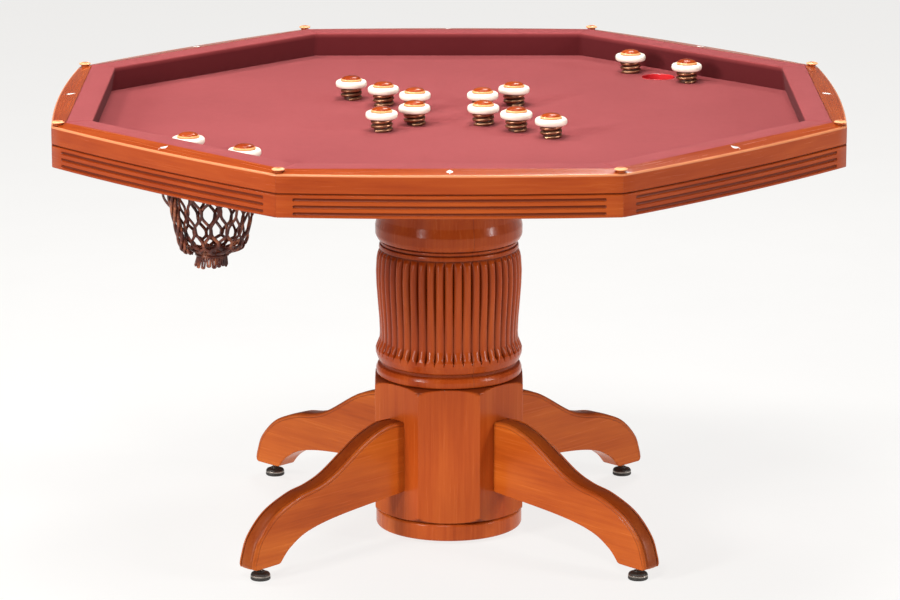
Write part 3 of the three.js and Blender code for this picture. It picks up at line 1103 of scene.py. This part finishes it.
def make_block():
    """An octagonal block whose ends are turned down to round shoulders."""
    low, high = BLOCK_LOW.z / MM, BLOCK_HIGH.z / MM
    apothem = BLOCK_HIGH.x / MM
    tip = PLINTH_HIGH.x / MM - 3
    shoulder, corner = 14.0, apothem / math.cos(HALF_SIDE)
    outline = octagon_outline(apothem)
    depths = [shoulder * k / 22 for k in range(23)]
    levels = depths + [shoulder + 40, (high - low) / 2, high - low - shoulder - 40]
    levels += [high - low - d for d in reversed(depths)]
    vertices, glaze_and_painted_light = [], []
    for level in levels:
        inward = max(0.0, 1 - min(level, high - low - level) / shoulder)
        turned = tip + (corner + 0.5 - tip) * math.sqrt(max(0.0, 1 - inward**1.7))
        for point in outline:
            share = min(1.0, turned / point.length)
            vertices.append((point.x * share * MM, point.y * share * MM, (low + level) * MM))
            # The turned shoulders are darkened, partly as end grain that takes the stain darker and partly as
            # painted shade.
            glaze_and_painted_light.append(min(0.8, 60 * (1 - share)))
    faces = capped_faces(len(levels), len(outline))
    block = make_object("octagonal_block", vertices, faces, "block", 24, glaze_and_painted_light)
    settle(block, replaces="pedestal_block")


def make_plinth():
    low, high, r = PLINTH_LOW.z / MM, PLINTH_HIGH.z / MM, PLINTH_HIGH.x / MM
    side = [(r - 1, low, 1.5), (r + 0.4, low + 3, 2), (r + 0.4, high - 4, 5), (r - 6, high, 2)]
    outline = rounded([(0, low), *side, (0, high)])
    # A thin band of painted shade on the plinth's top edge, just under the block.
    plinth = lathe("round_plinth", outline, "plinth", 160, glaze_and_painted_light_at=lambda z, a: 0.5 if z > high - 0.4 else 0)
    settle(plinth, replaces="plinth")


# -------- legs and levelling feet

LEG_HALF = 19.5  # half a leg's thickness
LEG_FACE = 131.7  # from the middle of the block to where a leg meets it

# Across a leg from its side to its middle: (share of half the thickness, drop on the moulded top
# edge, drop on the plain lower edge).
LEG_EDGE = (
    (1.0, 8.4, 1.4), (0.975, 7.6, 1.2), (0.985, 5.4, 0.7), (0.945, 2.9, 0.2), (0.885, 1.2, 0.0),
    (0.815, 0.5, 0.0), (0.755, 0.9, 0.0), (0.715, 2.0, 0.0), (0.69, 2.9, 0.0), (0.65, 2.4, 0.0),
    (0.59, 1.3, 0.0), (0.48, 0.6, 0.0), (0.3, 0.2, 0.0), (0.0, 0.0, 0.0),
)


def leg_outline(sole):
    """The leg from the side as (out, height), with each point's share of the top moulding."""
    top = spline(
        [
            (LEG_FACE, 221), (165, 222), (198, 214), (232, 199), (298, 160), (340, 145),
            (385, 136.5), (440, 114), (478, 78), (492, 45), (495, sole + 7),
        ],
        7,
    )
    toe = [Vector(p) for p in ((492.5, sole + 1.6), (487, sole), (458, sole), (434, sole + 0.6))]
    under = spline([(430, sole + 2), (408, 48), (365, 69), (285, 82), (LEG_FACE, 92)], 8)
    shares = [1.0] * len(top) + [0.5, 0.0, 0.0, 0.0] + [0.0] * len(under)
    return top + toe + under, shares


def make_leg(corner):
    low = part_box(f"leg_{corner}")[0]
    outline, shares = leg_outline(low.z / MM)
    normals = []
    for i, point in enumerate(outline):
        before, after = outline[max(i - 1, 0)], outline[min(i + 1, len(outline) - 1)]
        along = (after - before).normalized()
        normals.append(Vector((-along.y, along.x)))
    normals[0] = Vector((0, 1))
    normals[-1] = Vector((0, -1))
    across = [*LEG_EDGE, *((-s, a, b) for s, a, b in reversed(LEG_EDGE[:-1]))]
    vertices, glaze_and_painted_light = [], []
    for share, top_drop, low_drop in across:
        for point, normal, moulded in zip(outline, normals, shares):
            drop = top_drop * moulded + low_drop * (1 - moulded)
            place = point - normal * drop
            vertices.append((place.x * MM, share * LEG_HALF * MM, place.y * MM))
            quirk = max(0.0, 1 - abs(abs(share) - 0.69) / 0.05)
            foot = max(0.0, 1 - abs(abs(share) - 0.975) / 0.008)
            # Painted shade on the moulded top, which faces the table's dark underside: darkest in the middle,
            # less on the mouldings beside it, none on the leg's side; the quirk and bead lines are painted
            # darker too.
            band = 0.7 if abs(share) < 0.6 else 0.4 if abs(share) < 0.96 else 0
            glaze_and_painted_light.append((0.8 * quirk + 0.6 * foot + band) * moulded)
    faces = capped_faces(len(across), len(outline))
    leg = make_object(f"scrolled_leg_{corner}", vertices, faces, "leg", 30, glaze_and_painted_light)
    settle(leg, replaces=f"leg_{corner}", turn=DIAGONAL + (corner - 1) * math.pi / 2)


THREAD_LEAD = 1.5  # a stem's thread, in mm for each turn
FOOT_PARTS = (  # name, material, slot, outline
    (
        "pad",
        "pad",
        "leveller_rubber",
        ((0, 0), (16.3, 0, 1), (17.5, 1.5, 1), (17.3, 4.8, 0.5), (16.1, 5.2), (0, 5.2)),
    ),
    (
        "band",
        "steel",
        "leveller_steel",
        ((0, 5.0), (16.5, 5.0, 0.3), (17.2, 5.8, 0.5), (17.2, 8.2, 0.5), (16.3, 9.0), (0, 9.0)),
    ),
    (
        "cap",
        "pad",
        "leveller_rubber",
        ((0, 8.8), (15.7, 8.8), (16.9, 9.4, 0.6), (15, 11.8, 1.5), (8, 13.8, 1), (7.6, 15.4, 0.5), (0, 15.4)),
    ),
)


def make_leveller(corner):
    node = f"leveller_{corner}"
    body = body_of(node)
    place = middle(node)
    at = (place.x, place.y, 0)
    for name, material, slot, outline in FOOT_PARTS:
        settle(lathe(f"foot_{name}_{corner}", rounded(outline), material, 56), body, at=at)
    low, top = 15.0, LEVELLER_HIGH.z / MM
    levels = [low + (top - low) * k / 120 for k in range(121)]
    stem = lathe(
        f"foot_stem_{corner}",
        [Vector((0, low)), *[Vector((4.1, z)) for z in levels], Vector((0, top))],
        "steel",
        20,
        radius_at=lambda radius, z, a: radius + 0.3 * math.cos(2 * math.pi * z / THREAD_LEAD - a),
    )
    settle(stem, body, replaces=node, at=at)


# -------- buttons and sights

BUTTON_IN = 12.0  # from a corner of the rail in to the middle of its button


def make_trim():
    """Turned buttons on the rail's corners and pearl sights in the middle of each side."""
    top = TOP_Z / MM + 1.2
    outline = rounded([
        (0, top), (7.2, top, 0.4), (6.6, top + 2.8, 0.8), (9.2, top + 3.6, 0.5),
        (10.8, top + 5.0, 0.8), (10.6, top + 6.0, 1.0), (7.4, top + 7.4, 3), (0, top + 8.0),
    ])
    corner = (RAIL_OUT / math.cos(HALF_SIDE) - BUTTON_IN) * MM
    for i in range(SIDES):
        button = lathe(
            f"corner_button_{i + 1}",
            outline,
            "button",
            40,
            # A painted highlight on the button's top, and painted shade on its neck and foot.
            glaze_and_painted_light_at=lambda z, a: -0.85 if z > top + 4.6 else 0.3,
        )
        settle(button, at=polar(corner, HALF_SIDE + 2 * HALF_SIDE * i))
        settle(make_sight(f"sight_{i + 1}"), turn=2 * HALF_SIDE * i)


def make_sight(name):
    """A pearl diamond let into the middle of a rail, a hair above the sloping wood."""
    centre, long_half, short_half, around = 667.5, 10.5, 6.0, 32
    slope = RAIL_RISE / MM / (RAIL_OUT + BOW - RAIL_IN)
    vertices = []
    for lift, share in ((-0.8, 1.0), (0.45, 1.0), (0.65, 0.93)):
        for k in range(around):
            a = 2 * math.pi * k / around
            c, s = math.cos(a), math.sin(a)
            size = share / (abs(c) + abs(s)) ** 0.8
            out = centre + long_half * c * size
            height = TOP_Z / MM + (RAIL_OUT + BOW - out) * slope + lift
            vertices.append((out * MM, short_half * s * size * MM, height * MM))
    return make_object(name, vertices, capped_faces(3, around), "pearl")


# -------- the whole table

BUMPERS, LEGS = 14, 4

make_camera()
make_studio()
make_floor()
make_rails()
make_cushions()
make_bed()
make_liners()
make_nets()
for number in range(1, BUMPERS + 1):
    make_bumper(number)
make_column()
make_block()
make_plinth()
for corner in range(1, LEGS + 1):
    make_leg(corner)
    make_leveller(corner)
make_trim()
